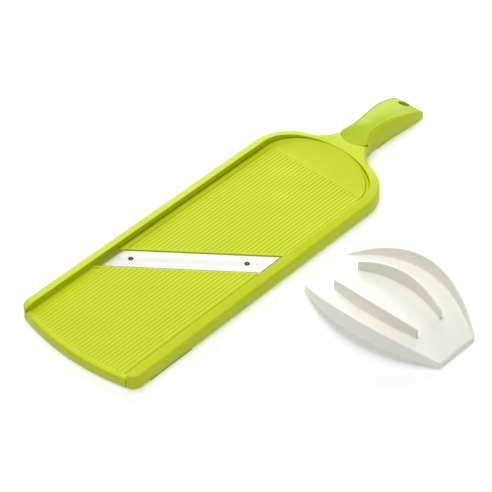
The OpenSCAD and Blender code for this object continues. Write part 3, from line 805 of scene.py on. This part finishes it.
def guard_arch_shell():
    """Arched plate with its two walls, closed at both ends by flanges."""
    inner = GUARD_HALF - 2.0
    steps = 72
    us = [-inner + 2 * inner * k / steps for k in range(steps + 1)]
    rings = [guard_ring(u, False) for u in us]
    for side in (-1, 1):
        ends = [(inner + 0.03, 0.0), (GUARD_HALF - 0.9, 0.0), (GUARD_HALF - 0.4, 0.08)]
        ends += [(GUARD_HALF - 0.12, 0.3), (GUARD_HALF, 0.7)]
        found = [guard_ring(side * u, True, low) for u, low in ends]
        rings = found[::-1] + rings if side < 0 else rings + found
    return loft(rings)


def fin_shell(side):
    """One upright grip: a thin plate bowed outwards, its top edge arched and rounded."""
    rings = []
    steps = 40
    for k in range(steps + 1):
        u = -FIN_HALF + 2 * FIN_HALF * k / steps
        bow = 1 - (u / FIN_HALF) ** 2
        outer = FIN_FACE + FIN_BOW * bow
        top = guard_plate_z(u + FIN_U) + 7.4 + 4.2 * bow
        root = guard_plate_z(u + FIN_U) - 1.2
        corners = [
            (outer - 1.9, root, 0.05),
            (outer - 1.75, top, 0.55),
            (outer - 0.1, top, 0.55),
            (outer + 0.1, root, 0.05),
        ]
        rings.append([guard_point(u + FIN_U, side * v + FIN_V, z) for v, z in soften(corners, 3)])
    return loft(rings)


def fin_fillet_shell(side, face):
    """Small concave fillet where a grip's face meets the plate."""
    rings = []
    steps = 40
    size = 0.9
    for k in range(steps + 1):
        u = -FIN_HALF + 2 * FIN_HALF * k / steps
        bow = 1 - (u / FIN_HALF) ** 2
        base = guard_plate_z(u + FIN_U)
        foot = FIN_FACE + FIN_BOW * bow - (0 if face > 0 else 1.8)
        section = [(foot - face * 0.4, base - 0.4), (foot - face * 0.4, base + size)]
        for j in range(5):
            a = math.pi / 2 * j / 4
            section.append((foot + face * size * (1 - math.cos(a)), base + size * (1 - math.sin(a))))
        section.append((foot + face * size, base - 0.4))
        rings.append([guard_point(u + FIN_U, side * v + FIN_V, z) for v, z in section])
    return loft(rings)


def boss_shells():
    """Bosses that take the screws of the spike plate."""
    shells = []
    for side in (-1, 1):
        x, y, _ = guard_point(side * BOSS_U, 0, 0)
        top = guard_plate_z(BOSS_U) - 1
        shells.append(lathe([(0.95, 9.3), (3, 9.3), (3, top), (0.95, top)], x, y, 32))
    return shells


# ---------- materials ----------

def shader_node(tree, kind, inputs=(), **settings):
    node = tree.nodes.new(kind)
    for name, value in settings.items():
        setattr(node, name, value)
    for name, value in inputs:
        if isinstance(value, bpy.types.NodeSocket):
            tree.links.new(value, node.inputs[name])
        else:
            node.inputs[name].default_value = value
    return node


def new_material(name):
    material = bpy.data.materials.new(name)
    material.use_nodes = True
    tree = material.node_tree
    return material, tree, tree.nodes["Principled BSDF"]


def noise(tree, vector, scale, detail=2.0, roughness=0.5):
    """Noise value at a point."""
    return shader_node(tree, "ShaderNodeTexNoise", (
        ("Vector", vector), ("Scale", scale), ("Detail", detail), ("Roughness", roughness),
    )).outputs["Fac"]


def ramp(tree, fac, low, high, start=0.3, end=0.7):
    """Colour between low and high, by a value."""
    node = shader_node(tree, "ShaderNodeValToRGB", (("Fac", fac),))
    node.color_ramp.elements[0].position = start
    node.color_ramp.elements[0].color = (*low, 1)
    node.color_ramp.elements[1].position = end
    node.color_ramp.elements[1].color = (*high, 1)
    return node.outputs["Color"]


def spread(tree, value, low, high):
    """Number between low and high, by a noise value."""
    return shader_node(tree, "ShaderNodeMapRange", (
        ("Value", value), ("From Min", 0.3), ("From Max", 0.7), ("To Min", low), ("To Max", high),
    )).outputs["Result"]


def plastic(name, low, high, roughness, grain=0.05, specular=0.5, subsurface=0.0, glow=(1, 1, 1)):
    """Moulded plastic: faint flow marks in the colour, a fine grain and an uneven sheen."""
    material, tree, shader = new_material(name)
    where = shader_node(tree, "ShaderNodeTexCoord").outputs["Object"]
    flow = noise(tree, where, 22, 3)
    tree.links.new(ramp(tree, flow, low, high), shader.inputs["Base Color"])
    sheen = noise(tree, where, 140, 3)
    tree.links.new(spread(tree, sheen, roughness - 0.05, roughness + 0.05), shader.inputs["Roughness"])
    fine = noise(tree, where, 2600, 2, 0.6)
    bump = shader_node(tree, "ShaderNodeBump", (("Strength", grain), ("Distance", 0.0002), ("Height", fine)))
    tree.links.new(bump.outputs["Normal"], shader.inputs["Normal"])
    shader.inputs["Specular IOR Level"].default_value = specular
    if subsurface:
        shader.inputs["Subsurface Weight"].default_value = subsurface
        shader.inputs["Subsurface Radius"].default_value = glow
        shader.inputs["Subsurface Scale"].default_value = 0.0015
    return material


def brushed_steel(
        name, low, high, roughness, turn=0.0, along_scale=12, across_scale=2600, bump_strength=0.08):
    """Stainless steel with a fine grain along one direction."""
    material, tree, shader = new_material(name)
    where = shader_node(tree, "ShaderNodeTexCoord").outputs["Object"]
    turned = shader_node(tree, "ShaderNodeMapping", (
        ("Vector", where), ("Rotation", (0, 0, -turn)),
    )).outputs["Vector"]
    fine = shader_node(tree, "ShaderNodeMapping", (
        ("Vector", turned), ("Scale", (along_scale, across_scale, across_scale)),
    )).outputs["Vector"]
    coarse = shader_node(tree, "ShaderNodeMapping", (
        ("Vector", turned), ("Scale", (along_scale / 3, 300, 300)),
    )).outputs["Vector"]
    grain = noise(tree, fine, 1.0, 4, 0.65)
    broad = noise(tree, coarse, 1.0, 2)
    tree.links.new(ramp(tree, broad, low, high, 0.25, 0.75), shader.inputs["Base Color"])
    tree.links.new(spread(tree, grain, roughness - 0.07, roughness + 0.07), shader.inputs["Roughness"])
    bump = shader_node(tree, "ShaderNodeBump", (
        ("Strength", bump_strength), ("Distance", 0.0001), ("Height", grain),
    ))
    tree.links.new(bump.outputs["Normal"], shader.inputs["Normal"])
    shader.inputs["Metallic"].default_value = 1.0
    return material


def rubber(name, low, high):
    """Matte rubber with a coarse grain."""
    return plastic(name, low, high, 0.78, grain=0.25, specular=0.3)


GREEN = plastic("green_moulding", (0.54, 0.645, 0.004), (0.58, 0.68, 0.008), 0.42, specular=0.26)
SOFT_GREEN = plastic(
    "soft_green_cover", (0.43, 0.57, 0.002), (0.465, 0.605, 0.005), 0.42, grain=0.08, specular=0.26)
WHITE = plastic("white_moulding", (0.87, 0.85, 0.765), (0.91, 0.89, 0.81), 0.36)
KNOB = plastic("knob_moulding", (0.70, 0.69, 0.64), (0.76, 0.75, 0.70), 0.5, grain=0.12)
RUBBER = rubber("grey_rubber", (0.06, 0.062, 0.055), (0.085, 0.087, 0.078))
BLADE = brushed_steel("brushed_blade", (0.54, 0.53, 0.512), (0.66, 0.648, 0.628), 0.42, BLADE_ANGLE)
# Painted shade: the rivet ring is steel coloured near black for the shade in the recessed countersink, and
# the core is darkened well below plain steel.
RIVET_RING_SHADE = brushed_steel("rivet_steel", (0.02, 0.019, 0.018), (0.035, 0.033, 0.032), 0.45, 0, 900, 900, 0.05)
RIVET_CORE_SHADE = brushed_steel("rivet_core", (0.12, 0.118, 0.115), (0.17, 0.166, 0.162), 0.4, 0, 700, 900, 0.05)
STEEL = brushed_steel("plain_steel", (0.50, 0.50, 0.50), (0.62, 0.62, 0.61), 0.32, 0, 60, 1500)
SPIKE = brushed_steel("polished_steel", (0.66, 0.66, 0.66), (0.76, 0.76, 0.75), 0.2, 0, 400, 400)


def dress(node, material, bevel=0.0):
    """Gives a CAD node its material and, where it has plain edges, a small bevel."""
    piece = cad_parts[node]
    piece.data.materials.clear()
    piece.data.materials.append(material)
    if bevel:
        modifier = piece.modifiers.new("bevel", "BEVEL")
        modifier.width = bevel * MM
        modifier.segments = 2
        modifier.limit_method = "ANGLE"
        modifier.angle_limit = math.radians(50)


def make_board():
    shells = [rim_shell(), ledge_shell(), deck_shell(), bed_shell()] + web_shells() + ear_shells()
    add_piece("board_moulding", shells, "board", GREEN, "green_plastic", "board_frame")


def make_handle():
    body = add_piece(
        "handle_moulding", [loft([handle_body_ring(y) for y in handle_stations()])],
        "board", GREEN, "green_plastic",
    )
    cut(body, hang_cutter())
    cover_rings = [handle_cover_ring(y) for y in handle_stations()[:-2]]
    cover_rings.append(handle_cover_ring(HANDLE_END - 0.25, 0.3))
    cover = add_piece("handle_grip", [loft(cover_rings)], "board", SOFT_GREEN, "soft_green", "handle_cover")
    cut(cover, seam_cutter())
    cut(cover, hang_cutter())


def make_plate():
    shells = [plate_shell(), foot_shell()] + knuckle_shells()
    add_piece("run_up_moulding", shells, "run_up", GREEN, "green_plastic", "run_up_plate")


def make_guard():
    shells = [guard_arch_shell()] + boss_shells()
    for side in (-1, 1):
        shells.append(fin_shell(side))
        shells += [fin_fillet_shell(side, face) for face in (-1, 1)]
    add_piece("guard_moulding", shells, "guard", WHITE, "white_plastic", "guard_shell")


def make_rivets():
    """Countersunk rivets: a recessed ring coloured near black as painted shade, round a paler core that is
    also darkened as painted shade, with the shank below.
    """
    top = BLADE_HIGH.z / MM
    rings, cores = [], []
    for side in (-1, 1):
        x = side * RIVET_X + RIVET_SHIFT
        y = x * SKEW
        ring = [(0.6, 3.95), (1.2, 3.95), (1.2, top - 0.7), (1.95, top - 0.05)]
        ring += [(1.8, top - 0.02), (1.3, top - 0.14), (0.6, top - 0.14)]
        core = [(0.02, 3.9), (0.65, 3.9), (0.65, top - 0.1), (0.5, top - 0.04), (0.02, top - 0.03)]
        rings.append(lathe(ring, x, y, 48))
        cores.append(lathe(core, x, y, 48))
    add_piece("rivet_rings", rings, "board", RIVET_RING_SHADE, "steel", "blade_rivets")
    add_piece("rivet_cores", cores, "board", RIVET_CORE_SHADE, "steel")


def dress_nodes():
    dress("blade", BLADE, 0.08)
    for node in ("rivet_washers", "handle_screws", "retainer_screws", "detent_spring", "adjuster_retainer"):
        dress(node, STEEL)
    for node in ("plate_hinge_rod", "plate_spring", "spike_plate_screws"):
        dress(node, STEEL)
    for node in ("front_foot_left", "front_foot_right", "handle_foot_left", "handle_foot_right"):
        dress(node, RUBBER, 0.15)
    dress("adjuster_knob", KNOB, 0.2)
    dress("guard_spike_plate", WHITE, 0.3)
    dress("guard_spikes", SPIKE)


# ---------- stage ----------

VIEW_AZIMUTH = math.radians(42.25)
VIEW_ELEVATION = math.radians(41.72)
VIEW_DISTANCE = 1.516
VIEW_LENS = 156.4
SENSOR_WIDTH = 36
FLOOR_GLOW = 0.24
ROOM_LIGHT = 0.26
VIEW_TARGET = Vector(board_point(16.36, 39.05, 6.5))


def make_camera():
    data = bpy.data.cameras.new("camera")
    data.lens = VIEW_LENS
    data.sensor_width = SENSOR_WIDTH
    camera = bpy.data.objects.new("camera", data)
    bpy.context.scene.collection.objects.link(camera)
    back = Vector((
        math.sin(VIEW_AZIMUTH) * math.cos(VIEW_ELEVATION),
        -math.cos(VIEW_AZIMUTH) * math.cos(VIEW_ELEVATION),
        math.sin(VIEW_ELEVATION),
    ))
    camera.location = VIEW_TARGET + back * VIEW_DISTANCE
    camera.rotation_euler = (-back).to_track_quat("-Z", "Y").to_euler()
    bpy.context.scene.camera = camera


def make_floor():
    mesh = bpy.data.meshes.new("floor")
    reach = 8.0
    corners = [(-reach, -reach, 0), (reach, -reach, 0), (reach, reach, 0), (-reach, reach, 0)]
    mesh.from_pydata(corners, [], [[0, 1, 2, 3]])
    floor = bpy.data.objects.new("floor", mesh)
    bpy.context.scene.collection.objects.link(floor)
    material, tree, shader = new_material("pale_floor")
    where = shader_node(tree, "ShaderNodeTexCoord").outputs["Object"]
    mottle = noise(tree, where, 3, 2)
    tree.links.new(ramp(tree, mottle, (0.80, 0.80, 0.80), (0.82, 0.82, 0.82)), shader.inputs["Base Color"])
    shader.inputs["Roughness"].default_value = 0.9
    shader.inputs["Specular IOR Level"].default_value = 0.1
    shader.inputs["Emission Color"].default_value = (1, 1, 1, 1)
    shader.inputs["Emission Strength"].default_value = FLOOR_GLOW
    mesh.materials.append(material)


def add_light(name, place, aim, width, height, power):
    data = bpy.data.lights.new(name, "AREA")
    data.shape = "RECTANGLE"
    data.size = width
    data.size_y = height
    data.energy = power
    light = bpy.data.objects.new(name, data)
    bpy.context.scene.collection.objects.link(light)
    light.location = Vector(place)
    light.rotation_euler = (Vector(aim) - Vector(place)).to_track_quat("-Z", "Y").to_euler()


def make_light():
    world = bpy.data.worlds.new("studio")
    bpy.context.scene.world = world
    world.use_nodes = True
    background = world.node_tree.nodes["Background"]
    background.inputs["Color"].default_value = (1, 1, 1, 1)
    background.inputs["Strength"].default_value = ROOM_LIGHT
    add_light("softbox", (-0.95, 1.15, 0.72), (0, 0, 0), width=1.7, height=0.9, power=16)
    add_light("overhead", (-0.2, -0.15, 2.2), (0, 0, 0), width=1.5, height=1.5, power=35)


def main():
    make_camera()
    make_floor()
    make_light()
    make_board()
    make_handle()
    make_plate()
    make_guard()
    make_rivets()
    dress_nodes()
    bpy.context.scene.view_settings.view_transform = "Standard"


main()
